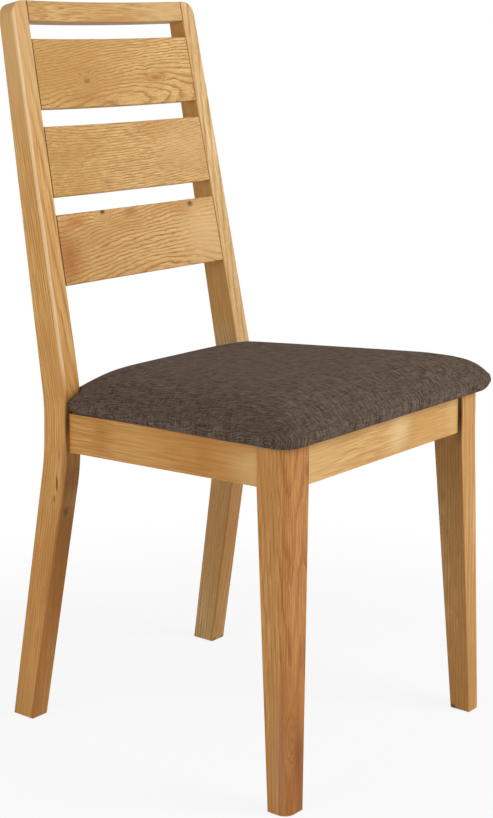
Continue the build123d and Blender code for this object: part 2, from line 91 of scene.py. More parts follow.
# %% A helper that writes a network's nodes
class Network:
    """A node network under construction."""

    def __init__(self, tree):
        self.tree = tree
        tree.nodes.clear()

    def feed(self, socket, value):
        """Link a node's result to a socket, or set the socket to a number."""
        if isinstance(value, bpy.types.NodeSocket):
            self.tree.links.new(value, socket)
        else:
            socket.default_value = value

    def node(self, kind, values=(), result=0, **settings):
        """Add a node. values are (socket, value) pairs and result is the output wanted."""
        made = self.tree.nodes.new("ShaderNode" + kind)
        for name, setting in settings.items():
            setattr(made, name, setting)
        for socket, value in values:
            self.feed(made.inputs[socket], value)
        return made.outputs[result]

    def end(self, kind, result):
        """Link the result to the network's output."""
        self.feed(self.tree.nodes.new("ShaderNodeOutput" + kind).inputs["Surface"], result)

    def math(self, operation, *values):
        """One step of arithmetic, such as POWER, 3, 2 for three squared."""
        return self.node("Math", enumerate(values), operation=operation)

    def add(self, a, b):
        return self.math("ADD", a, b)

    def minus(self, a, b):
        return self.math("SUBTRACT", a, b)

    def times(self, a, b):
        return self.math("MULTIPLY", a, b)

    def point(self, x, y, z):
        return self.node("CombineXYZ", enumerate((x, y, z)))

    def split(self, point):
        """The three coordinates of a point."""
        return self.node("SeparateXYZ", [(0, point)]).node.outputs

    def length(self, point):
        return self.node("VectorMath", [(0, point)], result="Value", operation="LENGTH")

    def scaled(self, axes, scales, shift=None):
        """One point from coordinates times scales, with shift added to the last of them."""
        x, y, z = (self.times(axis, scale) for axis, scale in zip(axes, scales))
        return self.point(x, y, z if shift is None else self.add(z, shift))

    def noise(self, where, scale=1.0, detail=2.0, roughness=0.5):
        """Cloudy noise from 0 to 1; a finer detail or a higher roughness breaks it up."""
        sockets = {"Vector": where, "Scale": scale, "Detail": detail, "Roughness": roughness}
        return self.node("TexNoise", sockets.items())

    def spread(self, value, low, high, to_low=0.0, to_high=1.0, smooth=True):
        """Move the range low..high to to_low..to_high, clamped, and with soft ends if smooth."""
        sockets = enumerate((value, low, high, to_low, to_high))
        kind = "SMOOTHSTEP" if smooth else "LINEAR"
        return self.node("MapRange", sockets, interpolation_type=kind)

    def ramp(self, value, stops):
        """Colour that changes along value; stops are (place, colour) pairs."""
        made = self.tree.nodes.new("ShaderNodeValToRGB")
        marks = made.color_ramp.elements
        while len(marks) < len(stops):
            marks.new(0.5)
        for mark, (place, colour) in zip(marks, stops):
            mark.position = place
            mark.color = (*colour, 1)
        self.feed(made.inputs[0], value)
        return made.outputs[0]

    def mix(self, share, a, b, blend="MIX"):
        """Blend colour a towards colour b by share."""
        made = self.tree.nodes.new("ShaderNodeMix")
        made.data_type = "RGBA"
        made.blend_type = blend
        self.feed(made.inputs[0], share)
        for socket, colour in ((6, a), (7, b)):
            self.feed(made.inputs[socket], (*colour, 1) if isinstance(colour, tuple) else colour)
        return made.outputs[2]

    def bump(self, height, strength, distance):
        """Small relief: distance is how high the height 1 stands, in metres."""
        sockets = {"Strength": strength, "Distance": distance, "Height": height}
        return self.node("Bump", sockets.items())

    def here(self):
        """The place on the piece, in metres."""
        return self.node("TexCoord", result="Object")


class Finish(Network):
    """A material under construction, with one Principled shader."""

    def __init__(self, name):
        self.material = bpy.data.materials.new(name)
        self.material.use_nodes = True
        super().__init__(self.material.node_tree)
        self.shader = self.tree.nodes.new("ShaderNodeBsdfPrincipled")
        self.end("Material", self.shader.outputs[0])

    def grain_axes(self, grain, centre):
        """Coordinates (across, over, along) about a centre, for grain along X, Y or Z."""
        offset = self.node("VectorMath", [(0, self.here()), (1, centre)], operation="SUBTRACT")
        x, y, z = self.split(offset)
        return {"X": (y, z, x), "Y": (x, z, y), "Z": (x, y, z)}[grain]

    def done(self, colour, roughness, normal=None, **others):
        """Feed the shader, where Sheen_Weight=0.05 feeds its socket Sheen Weight."""
        others.update(Base_Color=colour, Roughness=roughness)
        if normal is not None:
            others["Normal"] = normal
        for name, value in others.items():
            self.feed(self.shader.inputs[name.replace("_", " ")], value)
        return self.material


def middle(node):
    """Middle of a solid's box."""
    low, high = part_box(node)
    return (low + high) / 2


print("shader helpers ready")

# %% [markdown]
# ## Oak
# An oak board shows the tree's yearly rings wherever the saw met them. Each ring begins
# with a band of open pores, which cut to short dark dashes, and ends in smooth late wood.
# A board sawn near the side of the log shows arched figures, one sawn near the middle
# shows close lines and pale ray flecks. So the rings are worked out as they grow: as the
# distance from a pith line that passes near the piece, wandering a little along its
# length. The pattern then turns the corners of a piece as real grain does, which a flat
# picture wrapped round it can't. A knot is a branch: it pushes the rings aside and shows
# a dark eye of its own.
#
# The rest is what makes a real chair's timber uneven. Grain runs out of line in a leaning
# piece and bends with a bent one. A second board glued on has its own tone, and stains come
# and go. Dirt gathers in the line of a joint. Besides these, shade and highlights are
# painted in: a darker or paler tone on one face of a piece, and soft patches of painted
# shade or sheen.

# %% Oak, ring by ring
RING = 0.0042                            # metres between yearly rings
DARK_LINE = (0.330, 0.140, 0.035)        # open pores at the start of a ring
EARLY_WOOD = (0.385, 0.176, 0.042)
LATE_WOOD = (0.850, 0.550, 0.232)
EVEN_WOOD = (0.600, 0.340, 0.120)
DEEP_TONE = (0.520, 0.255, 0.072)
PALE_RAY = (0.780, 0.520, 0.240)
KNOT_EYE = (0.085, 0.036, 0.014)
SEAM = (0.120, 0.060, 0.022)             # dirt and shadow in the line of a joint


def near(f, axes, place, sizes):
    """Distance from a place in a piece, in shares of the sizes across, over and along."""
    shares = (f.math("DIVIDE", f.minus(axis, at), size)
              for axis, at, size in zip(axes, place, sizes))
    return f.length(f.point(*shares))


# How often a pattern changes for each metre across, over and along the grain.
SLOW_WAVES = (9, 9, 2.6)
FINE_WAVES = (60, 60, 30)
FIBRES = (480, 480, 36)
PORES = (560, 560, 50)
TONES = (16, 16, 5)
RAYS = (90, 260, 110)
FACE_BLUR = 0.0010                       # how fast a face's tone ends across the grain,
END_BLUR = 0.03                          # and along it
GLUE_LINE = 0.0005
SMOOTH_OAK = 0.48                        # roughness between the pores


def oak(name, grain, centre, pith, lean=(0.0, 0.0), seed=0, tint=(1, 1, 1), knots=(),
        stains=(), ring=RING, wander=0.010, waves=0.004, lines=0.5, fleck=0.0, seam=None,
        second=None, turn=(0.0, 0.0), bends=(), faces=(), fine=1.0, stretch=1.0, plain=0.0):
    """Oak with grain along one axis. Rings = distance from a leaning pith line + wander + knots.
    pith is the line's place across the grain from the centre, and lean its slope along it.
    turn is how much a piece and its grain run out of line, across and over for each metre
    along; bends are (start, slope), where the grain turns back with a bent piece: a negative
    slope turns it below the start and a positive one above.
    ring is the distance between rings. wander bends them slowly, waves finely, and lines is
    how strongly they show against the fibres.
    fine and stretch multiply the fineness and the length of the fibres, plain evens out the
    colour, fleck is how strongly the rays show, and tint multiplies everything.
    knots are (place, sizes, push, depth): how far the rings are pushed, how dark the eye is.
    stains are (place, sizes, colour, strength), soft patches of another tone; some of them are
    painted shade or painted sheen.
    faces are (side, place, low, high, colour, strength): painted shade or a painted highlight,
    another tone before a place across (side 0) or over (side 1) the grain, or on both sides of
    their corner (side 2), between two levels along it.
    second is (place, tint): behind this place the piece is glued up from another board.
    seam is (half length, slope): a joint's line where the piece enters its neighbours."""
    f = Finish(name)
    across, over, along = axes = f.grain_axes(grain, centre)
    across = f.add(across, f.times(along, -turn[0]))
    over = f.add(over, f.times(along, -turn[1]))
    for start, slope in bends:
        beyond = f.minus(along, start) if slope > 0 else f.minus(start, along)
        over = f.minus(over, f.times(f.math("MAXIMUM", beyond, 0.0), abs(slope)))
    straight = (across, over, along)
    shift = 3.7 * seed

    def drawn(pattern):
        """A pattern's changes for each metre, made finer and longer for this piece."""
        return (pattern[0] * fine, pattern[1] * fine, pattern[2] / stretch)

    # The rings: distance from the pith, pushed about by slow and fine waves and by knots.
    slow = f.noise(f.scaled(straight, SLOW_WAVES, shift))
    wavy = f.noise(f.scaled(straight, FINE_WAVES, shift))
    a = f.add(across, f.add(f.times(along, -lean[0]), -pith[0]))
    b = f.add(over, f.add(f.times(along, -lean[1]), -pith[1]))
    bend = f.add(f.times(slow, wander), f.times(wavy, waves))
    eyes = 0.0
    for place, sizes, push, depth in knots:
        far = near(f, axes, place, sizes)
        bell = f.math("EXPONENT", f.times(f.math("POWER", far, 2.0), -1.0))
        bend = f.add(bend, f.times(bell, push))
        eye = f.times(f.spread(f.add(far, f.times(wavy, 0.5)), 0.95, 0.45), depth)
        eyes = f.math("MAXIMUM", eye, eyes)
    radius = f.add(f.length(f.point(a, b, 0.0)), bend)
    phase = f.math("FRACT", f.math("DIVIDE", radius, ring))
    late = f.times(f.spread(phase, 0.0, 0.45), f.spread(phase, 1.0, 0.86))

    # The fibres and pores lie beside the rings, so they take the same bends.
    beside = (f.add(across, bend), f.add(over, bend), along)
    fibre = f.spread(f.noise(f.scaled(beside, drawn(FIBRES))), 0.38, 0.62, smooth=False)
    pore = f.spread(f.noise(f.scaled(beside, drawn(PORES)), detail=1.0), 0.54, 0.66)
    pore = f.times(pore, f.spread(late, 0.8, 0.0, 0.45, 1.0))

    # The colour: rings and fibres, then what the board's own history lays over them.
    tone = f.noise(f.scaled(straight, TONES, shift), detail=3)
    share = f.add(f.times(late, lines), f.times(fibre, 1.0 - lines))
    wood = f.mix(share, EARLY_WOOD, LATE_WOOD)
    wood = f.mix(f.times(pore, 0.82), wood, DARK_LINE)
    if plain:
        wood = f.mix(plain, wood, EVEN_WOOD)
    wood = f.mix(f.spread(tone, 0.40, 0.64, 0.0, 0.50), wood, DEEP_TONE)
    if fleck:
        ray = f.noise(f.scaled(straight, RAYS), detail=1.0)
        wood = f.mix(f.spread(ray, 0.55, 0.70, 0.0, fleck), wood, PALE_RAY)
    for place, sizes, colour, strength in stains:
        patch = f.spread(f.add(near(f, axes, place, sizes), f.times(wavy, 0.4)), 1.25, 0.2)
        wood = f.mix(f.times(patch, strength), wood, colour)
    # Painted shade and painted highlight: one face made darker or paler for how light falls on
    # it.
    for side, place, low, high, colour, strength in faces:
        where = (across, over, f.add(across, over))[side]
        painted_face_share = f.spread(where, place + FACE_BLUR, place)
        painted_face_share = f.times(painted_face_share, f.spread(along, low - END_BLUR, low + END_BLUR))
        painted_face_share = f.times(painted_face_share, f.spread(along, high + END_BLUR, high - END_BLUR))
        painted_face_share = f.times(painted_face_share, f.spread(tone, 0.2, 0.7, 0.6 * strength, strength))
        wood = f.mix(painted_face_share, wood, colour)
    if knots:
        wood = f.mix(eyes, wood, KNOT_EYE)
    if second:
        place, other = second
        tint = f.mix(f.spread(over, place, place + GLUE_LINE), tint, other)
    wood = f.mix(1.0, wood, tint, blend="MULTIPLY")
    if seam:
        half, slope = seam
        room = f.minus(f.add(f.times(over, slope), half), f.math("ABSOLUTE", along))
        wood = f.mix(f.spread(room, 0.0016, 0.0006, 0.0, 0.9), wood, SEAM)

    rough = f.add(f.times(pore, 0.16), f.add(f.times(fibre, 0.10), SMOOTH_OAK))
    height = f.add(f.times(pore, -0.8), f.times(fibre, 0.35))
    return f.done(wood, rough, f.bump(height, 0.35, 0.0004), Specular_IOR_Level=0.25)


def dress(node, material):
    """Put a material in every slot of a solid, and leave its mesh alone."""
    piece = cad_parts[node]
    if not piece.data.materials:
        piece.data.materials.append(material)
    for slot in piece.material_slots:
        slot.link = "OBJECT"
        slot.material = material


print("oak ready, rings", RING * 1000, "mm apart")

# %% [markdown]
# ## Choosing the boards
# No two pieces come from the same board, so each call below picks one: where its pith
# lies, how its rings wander, its tint, and its knots and stains. A place in a piece is
# given from the middle of its box, across, over and along the grain. The front faces of
# the back legs below the bend carry painted shade from the seat, one post's inner face above
# the seat carries painted shade, one post's corner above the seat carries a painted
# highlight, the corners where rails stand back from posts and legs carry painted shade, the
# ends of the slats and crest towards +X carry painted sheen, and two feet carry a few
# bruises.

# %% Where things lie on the posts
POST_WIDTH = 0.028
EASED = 0.0015                           # round of the long edges
post_low, post_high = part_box("post_left")
post_floor_inner = post_high.x - POST_WIDTH
POST_LEAN = (post_low.x - post_floor_inner) / post_high.z


def post_inner(z):
    """Half width between the posts, which lean in evenly from floor to crest."""
    return post_floor_inner + POST_LEAN * z


def between_posts(node):
    """The seam where a rail or slat meets the posts."""
    return (post_inner(middle(node).z), POST_LEAN)


def spot(node, grain, x, y, z):
    """A point of the chair as a place in a piece: across, over and along its grain."""
    x, y, z = Vector((x, y, z)) - middle(node)
    return {"X": (y, z, x), "Y": (x, z, y), "Z": (x, y, z)}[grain]


RAIL_LEVEL = 0.424                       # middle of the side rails' height
# Painted shade: a dark brown laid into the corners where a rail stands back from its post or leg.
CORNER_SHADE_COLOUR = (0.070, 0.028, 0.008)
BRUISE = (0.050, 0.022, 0.010)


def painted_corner_shade(node, x, y):
    """Painted shade in the corner where a rail stands back from its post or leg."""
    sizes = (0.012, 0.0036, 0.052) if y > 0 else (0.0036, 0.012, 0.052)
    return (spot(node, "Z", x, y, RAIL_LEVEL), sizes, CORNER_SHADE_COLOUR, 0.97)


def chip(node, x, y, width):
    """A dark bruise at the rim of a foot."""
    return (spot(node, "Z", x, y, 0.0020), (width, width, 0.0075), BRUISE, 0.95)


BEND_LEVEL = 0.408                       # where the posts bend, over the floor
bend_level = BEND_LEVEL - middle("post_left").z
POST_BENDS = ((bend_level + 0.040, 0.201), (bend_level - 0.040, -0.176))
LEG_FRONT = post_low.y + EASED - middle("post_left").y
INNER_FACE = EASED - POST_WIDTH / 2
# Where the painted highlight along a post's outer front corner lies.
EDGE_HIGHLIGHT_PLACE = LEG_FRONT - 0.0010 - POST_WIDTH / 2     # a strip 1 mm deep on the corner
PAST_FOOT, PAST_TOP = -0.60, 0.50        # levels beyond both ends of a post
print("the posts bend", round(BEND_LEVEL * 1000), "mm over the floor")

# %% Timber for the back
# Painted highlight: a pale line for the eased edge of a post catching light.
PAINTED_EDGE_HIGHLIGHT = (0.930, 0.750, 0.540)
YELLOW_END = (0.530, 0.275, 0.072)
REDDISH = (0.470, 0.185, 0.050)
# Painted sheen: a paler, less saturated tone at the ends of the slats and crest towards +X, for
# gloss from the front lamp.
PAINTED_END_SHEEN = (0.760, 0.500, 0.240)
dress("slat_upper", oak(
    "oak_slat_upper", "X", middle("slat_upper"), (0.020, -0.050), (0.05, 0.10), seed=1,
    wander=0.024, waves=0.005, ring=0.0036, lines=0.62, fine=1.35, stretch=1.1,
    seam=between_posts("slat_upper"), tint=(0.95, 0.94, 0.86),
    knots=[((-0.008, -0.010, -0.056), (0.10, 0.0085, 0.013), 0.016, 0.45),
           ((-0.008, -0.009, 0.086), (0.10, 0.0045, 0.016), 0.010, 0.36)],
    stains=[((-0.008, 0.0, -0.150), (0.10, 0.09, 0.190), YELLOW_END, 0.62),
            ((-0.008, -0.034, -0.060), (0.10, 0.010, 0.060), REDDISH, 0.45),
            ((-0.008, -0.009, 0.086), (0.10, 0.009, 0.036), REDDISH, 0.60)]))
dress("slat_middle", oak(
    "oak_slat_middle", "X", middle("slat_middle"), (0.09, 0.10), (0.02, 0.03), seed=2,
    wander=0.012, waves=0.004, ring=0.0032, lines=0.50, fleck=0.30, fine=1.35,
    seam=between_posts("slat_middle"), tint=(0.96, 0.95, 0.88),
    stains=[((-0.008, 0.0, -0.180), (0.10, 0.09, 0.200), YELLOW_END, 0.42),
            ((-0.008, 0.010, 0.130), (0.10, 0.06, 0.090), PAINTED_END_SHEEN, 0.45)]))
dress("slat_lower", oak(
    "oak_slat_lower", "X", middle("slat_lower"), (0.030, -0.085), (0.04, 0.08), seed=3,
    wander=0.060, waves=0.006, ring=0.0050, lines=0.66, fine=1.4,
    seam=between_posts("slat_lower"), tint=(0.97, 0.94, 0.88),
    knots=[((-0.004, 0.045, -0.066), (0.10, 0.0085, 0.0120), 0.024, 0.98),
           ((-0.004, 0.042, 0.115), (0.10, 0.0090, 0.0130), 0.022, 0.85)],
    stains=[((-0.004, 0.0, -0.160), (0.10, 0.09, 0.110), (0.500, 0.240, 0.056), 0.45),
            ((-0.004, -0.012, -0.150), (0.10, 0.055, 0.044), (0.42, 0.150, 0.034), 0.85),
            ((-0.004, 0.036, -0.125), (0.10, 0.012, 0.036), (0.52, 0.200, 0.050), 0.80),
            ((-0.004, 0.040, -0.008), (0.10, 0.011, 0.022), REDDISH, 0.85),
            ((-0.004, 0.034, 0.098), (0.10, 0.020, 0.024), REDDISH, 0.35),
            ((-0.004, 0.000, 0.140), (0.10, 0.07, 0.080), PAINTED_END_SHEEN, 0.80)]))
dress("crest_rail", oak(
    "oak_crest", "X", middle("crest_rail"), (0.10, -0.06), (0.0, 0.02), seed=4,
    wander=0.003, waves=0.001, lines=0.25, stretch=2.0, plain=0.35,
    seam=between_posts("crest_rail"), tint=(0.98, 0.99, 0.96),
    stains=[((0.0, 0.0, 0.130), (0.10, 0.10, 0.090), PAINTED_END_SHEEN, 0.50)]))
dress("post_right", oak(
    "oak_post_right", "Z", middle("post_right"), (-0.06, 0.09), (0.02, 0.05), seed=5,
    tint=(1.01, 0.93, 0.77), wander=0.008, waves=0.002, stretch=2.2, plain=0.22,
    bends=POST_BENDS, turn=(-POST_LEAN, 0.0),
    # Painted shade on the front face below the bend, under the seat, and a painted highlight
    # along the outer front corner above the seat.
    faces=[(1, LEG_FRONT, PAST_FOOT, bend_level - 0.10, (0.340, 0.135, 0.024), 0.85),
           (2, EDGE_HIGHLIGHT_PLACE, bend_level + 0.08, PAST_TOP, PAINTED_EDGE_HIGHLIGHT, 0.62)],
    knots=[(spot("post_right", "Z", -0.1985, 0.151, 0.340), (0.006, 0.0032, 0.022), 0.004, 0.90),
           (spot("post_right", "Z", -0.1985, 0.156, 0.317), (0.006, 0.0030, 0.010), 0.003, 0.60),
           (spot("post_right", "Z", -0.1985, 0.147, 0.378), (0.006, 0.0022, 0.016), 0.003, 0.55),
           (spot("post_right", "Z", -0.189, 0.144, 0.300), (0.010, 0.008, 0.012), 0.010, 0.55)],
    stains=[((0.0, 0.0, 0.430), (0.5, 0.5, 0.200), (0.740, 0.530, 0.300), 0.48),
            ((0.0, 0.0, -0.300), (0.5, 0.5, 0.280), (0.500, 0.225, 0.058), 0.60),
            # Painted shade: two dark patches on this back leg's front face, under the seat.
            (spot("post_right", "Z", -0.184, 0.165, 0.180), (0.500, 0.020, 0.120),
             (0.38, 0.150, 0.036), 0.40),
            (spot("post_right", "Z", -0.184, 0.137, 0.350), (0.500, 0.010, 0.070),
             (0.30, 0.115, 0.028), 0.65),
            painted_corner_shade("post_right", -0.1940, 0.1345)]))
dress("post_left", oak(
    "oak_post_left", "Z", middle("post_left"), (0.07, 0.10), (-0.02, 0.05), seed=6,
    tint=(1.08, 1.18, 1.38), wander=0.008, waves=0.002, stretch=2.2, plain=0.22, fleck=0.2,
    bends=POST_BENDS, turn=(POST_LEAN, 0.0),
    # Painted shade on the front face below the bend, under the seat, and on the inner face above
    # the seat.
    faces=[(1, LEG_FRONT, PAST_FOOT, bend_level - 0.04, (0.370, 0.150, 0.024), 0.60),
           (0, INNER_FACE, bend_level + 0.09, PAST_TOP, (0.600, 0.256, 0.044), 0.80)],
    stains=[((0.0, 0.0, -0.300), (0.5, 0.5, 0.280), (0.480, 0.195, 0.045), 0.60),
            *(chip("post_left", *place) for place in (
                (0.1825, 0.197, 0.0045), (0.2000, 0.197, 0.0050), (0.1775, 0.233, 0.0040))),
            painted_corner_shade("post_left", 0.1940, 0.1345)]))
print("back: three slats, crest rail and two posts")

# %% Timber for the seat frame and the front legs
RAIL_SPLAY = 0.0623                      # how far a side rail turns outwards for each metre
RAIL_FALL = math.tan(math.radians(2.7))  # how far it falls backwards for each metre
BLOND = (0.84, 0.58, 0.26)
dress("rail_front", oak(
    "oak_rail_front", "X", middle("rail_front"), (0.05, 0.08), (0.01, 0.02), seed=7,
    tint=(1.02, 1.04, 1.02), wander=0.002, waves=0.001, lines=0.15, stretch=2.0, plain=0.52,
    stains=[((0.0, 0.0, -0.150), (0.05, 0.05, 0.070), BLOND, 0.32),
            ((0.0, 0.0, 0.165), (0.05, 0.05, 0.032), BLOND, 0.32),
            ((0.0, 0.004, 0.030), (0.05, 0.05, 0.034), (0.82, 0.62, 0.34), 0.50),
            ((0.0, 0.006, 0.092), (0.05, 0.036, 0.034), (0.60, 0.31, 0.085), 0.65)]))
dress("rail_rear", oak(
    "oak_rail_rear", "X", middle("rail_rear"), (0.05, -0.08), (0.01, 0.02), seed=8))
for side, number, outwards in (("left", 9, -1), ("right", 10, 1)):
    node = "rail_side_" + side
    dress(node, oak(
        "oak_" + node, "Y", middle(node), (-0.08, 0.06), (0.02, 0.03), seed=number,
        tint=(0.94, 0.80, 0.60), wander=0.003, waves=0.001, lines=0.20, stretch=2.0, plain=0.45,
        turn=(outwards * RAIL_SPLAY, -RAIL_FALL), fine=1.2,
        stains=[((0.0, 0.0, -0.165), (0.05, 0.05, 0.066), (0.84, 0.66, 0.36), 0.78),
                ((0.0, 0.0, 0.040), (0.05, 0.05, 0.080), (0.72, 0.48, 0.20), 0.45),
                ((0.0, 0.0, -0.078), (0.05, 0.05, 0.026), (0.48, 0.210, 0.048), 0.55),
                ((0.0, 0.0, 0.106), (0.05, 0.05, 0.030), (0.44, 0.185, 0.042), 0.50)]))
dress("front_leg_right", oak(
    "oak_front_leg_right", "Z", middle("front_leg_right"), (0.010, 0.030), (0.03, 0.05), seed=11,
    tint=(0.76, 0.56, 0.41), second=(-0.013, (0.89, 0.74, 0.59)), wander=0.014, lines=0.36,
    stretch=3.0, fine=1.6, waves=0.003, plain=0.28,
    knots=[(spot("front_leg_right", "Z", -0.210, -0.262, 0.094), (0.008, 0.03, 0.026),
            0.012, 0.0)],
    stains=[((-0.025, -0.018, -0.150), (0.010, 0.024, 0.120), (0.640, 0.430, 0.280), 0.45),
            ((-0.002, -0.032, -0.165), (0.017, 0.026, 0.125), (0.270, 0.100, 0.008), 0.90),
            painted_corner_shade("front_leg_right", -0.172, -0.2470)]))
dress("front_leg_left", oak(
    "oak_front_leg_left", "Z", middle("front_leg_left"), (-0.05, 0.06), (0.02, 0.02), seed=12,
    tint=(0.90, 0.84, 0.75), wander=0.006, waves=0.002, stretch=3.0, fine=1.5, plain=0.20,
    stains=[((0.0, 0.0, -0.230), (0.5, 0.5, 0.260), (0.500, 0.235, 0.060), 0.60),
            chip("front_leg_left", 0.1910, -0.2320, 0.0050),
            painted_corner_shade("front_leg_left", 0.172, -0.2470)]))
print("frame: four rails and two front legs")

# %% [markdown]
# ## The timber and fittings underneath
# The corner blocks and dowels are beech, paler and finer than oak, with short ray flecks.
# Screws and staples are zinc-plated steel. The glides are moulded plastic and get
# scuffed, so their roughness varies. The board in the pad is plywood.

# %% Beech, plywood, steel and plastic
VENEER = 0.00135                         # thickness of one veneer of the plywood


def beech(name, centre):
    """Beech: an even pinkish tan with fine darker ray flecks along the grain."""
    f = Finish(name)
    axes = f.grain_axes("X", centre)
    cloud = f.noise(f.scaled(axes, (25, 25, 5)), detail=3.0)
    ray = f.noise(f.scaled(axes, (520, 520, 90)), detail=1.0)
    wood = f.mix(f.spread(cloud, 0.3, 0.7), (0.56, 0.34, 0.19), (0.66, 0.43, 0.25))
    wood = f.mix(f.spread(ray, 0.58, 0.68, 0.0, 0.5), wood, (0.36, 0.18, 0.085))
    return f.done(wood, f.spread(ray, 0.3, 0.7, 0.50, 0.66), f.bump(cloud, 0.3, 0.0003))


def plywood(name, node):
    """Plywood: veneers light and dark by turns = sin(pi x height over the slope / VENEER)."""
    f = Finish(name)
    axes = f.grain_axes("X", middle(node))
    height = f.add(axes[1], f.times(axes[0], SEAT_SLOPE))
    ply = f.math("SINE", f.times(height, math.pi / VENEER))
    fibre = f.noise(f.scaled(axes, (300, 300, 14)), detail=3.0)
    wood = f.mix(f.spread(ply, -0.4, 0.4), (0.42, 0.26, 0.13), (0.62, 0.45, 0.27))
    wood = f.mix(f.spread(fibre, 0.35, 0.7, 0.0, 0.5), wood, (0.70, 0.52, 0.33))
    return f.done(wood, f.spread(fibre, 0.2, 0.8, 0.60, 0.80))


def steel(name):
    """Zinc-plated steel: cloudy grey, smoother where it is paler."""
    f = Finish(name)
    cloud = f.noise(f.here(), scale=900.0)
    grey = f.mix(cloud, (0.45, 0.46, 0.47), (0.68, 0.69, 0.70))
    return f.done(grey, f.spread(cloud, 0.3, 0.7, 0.42, 0.26), Metallic=1.0)


def glide_plastic(name):
    """Moulded plastic, dark brown, with paler and rougher scuffs."""
    f = Finish(name)
    scuff = f.spread(f.noise(f.here(), scale=1400.0, detail=3.0), 0.50, 0.68)
    brown = f.mix(scuff, (0.020, 0.016, 0.014), (0.075, 0.065, 0.056))
    return f.done(brown, f.spread(scuff, 0.0, 1.0, 0.38, 0.70))


front_low, front_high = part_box("rail_front")
rear_low, rear_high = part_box("rail_rear")
SEAT_SLOPE = (front_high.z - rear_high.z) / (rear_low.y - front_low.y)
seat_tilt = math.atan(SEAT_SLOPE)
blocks = [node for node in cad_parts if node.startswith("corner_block")]
for node in (*blocks, "frame_dowels", "crest_dowels"):
    dress(node, beech("beech_" + node, middle(node)))
for node in ("block_screws", "seat_screws", "dust_cover_staples"):
    dress(node, steel("steel_" + node))
dress("foot_glides", glide_plastic("glide_plastic"))
dress("seat_board", plywood("plywood_seat_board", "seat_board"))
print("fittings dressed; the seat falls", round(math.degrees(seat_tilt), 2), "degrees")

# %% [markdown]
# ## The seat pad as a closed form
# The pad is foam on a board with cloth pulled over it. Seen from above it is a trapezoid
# with rounded corners, cut away round the two posts. Its edge is fullest a little above
# the rails, tucks in below that, and rolls up to a low crown. It is worked out as a
# surface over its own plan: spokes run from the middle to the outline, and the height at
# each point follows from its distance to the outline, so one formula makes sides, roll and
# crown. A block with a bevel would be quicker, but its corners and its notches for the
# posts would look cut out and not upholstered.

# %% The pad's plan
PAD_CORNER = 0.036                       # round of the front corners at the widest line
PAD_BELLY = 0.012                        # height of the widest line over the rails
PAD_HEIGHT = 0.060                       # height of the crown over the rails
PAD_TUCK = 0.013                         # how far in the edge is tucked under
PAD_ROLL = 0.123                         # how far in the edge has rolled up to the crown
FRONT_REACH = 0.0302                     # how far it stands out past the side rails in front
POST_GAP = 0.0008

pad_low, pad_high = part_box("seat_cover")
rail_low, rail_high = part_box("rail_side_left")
leg_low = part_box("front_leg_left")[0]
pad_front, pad_back = pad_low.y, pad_high.y


def frame_top(y):
    """Height of the seat frame's sloping top at depth y."""
    return front_high.z - (y - front_low.y) * SEAT_SLOPE


inner_x = post_inner(frame_top(post_low.y))
HALF_FRONT = rail_high.x + FRONT_REACH   # half width on the front edge, before its round
HALF_POST = inner_x + POST_WIDTH - 0.0005


def side_x(y):
    """Half width of the pad at depth y."""
    return HALF_FRONT + (HALF_POST - HALF_FRONT) * (y - pad_front) / (post_low.y - pad_front)


def arc(centre, radius, start, end, count):
    """Points on an arc, angles in degrees."""
    angle = np.radians(np.linspace(start, end, count))
    return np.c_[centre[0] + radius * np.cos(angle), centre[1] + radius * np.sin(angle)]


def walk(half, places):
    """Points along the closed line that half of it and its mirror image make.
    places gives their distances from the start for a line of a given length."""
    loop = np.vstack([half, (half * (-1, 1))[-2:0:-1], half[:1]])
    length = np.r_[0, np.cumsum(np.linalg.norm(np.diff(loop, axis=0), axis=1))]
    at = places(length[-1])
    return np.c_[np.interp(at, length, loop[:, 0]), np.interp(at, length, loop[:, 1])]


def pad_plan(step=0.002):
    """Outline of the pad: rear edge, notch, side, front corner and front of one half."""
    inner = inner_x - POST_GAP
    notch = post_low.y - POST_GAP
    turn = math.degrees(math.atan2(HALF_FRONT - HALF_POST, post_low.y - pad_front))
    depth = pad_front + PAD_CORNER
    corner = (side_x(depth) - PAD_CORNER / math.cos(math.radians(turn)), depth)
    half = np.vstack([
        [(0, pad_back), (inner, pad_back), (inner, notch), (side_x(notch), notch)],
        arc(corner, PAD_CORNER, turn, -90, 24),
        [(0, pad_front)],
    ])
    return walk(half, lambda length: np.arange(0, length, step))


plan = pad_plan()
span = [round(float(v) * 1000) for v in np.ptp(plan, axis=0)]
print("pad outline:", len(plan), "points,", span, "mm")

# %% Heights over the plan
def distance_to(points, line):
    """Least distance from each point to the points of a line."""
    out = np.empty(len(points))
    for block in np.array_split(np.arange(len(points)), 40):
        gap = points[block, None, :] - line[None, :, :]
        out[block] = np.sqrt((gap ** 2).sum(2).min(1))
    return out


def quarter(distance, width):
    """Quarter ellipse, 0 at the edge and 1 beyond width: sqrt(1 - (1 - distance / width)^2)."""
    return np.sqrt(1 - (1 - np.clip(distance / width, 0, 1)) ** 2)


def stand(xy, level):
    """Points over the plan, at levels square to the sloping seat."""
    y = xy[:, 1] + level * math.sin(seat_tilt)
    return np.c_[xy[:, 0], y, frame_top(xy[:, 1]) + level * math.cos(seat_tilt)]


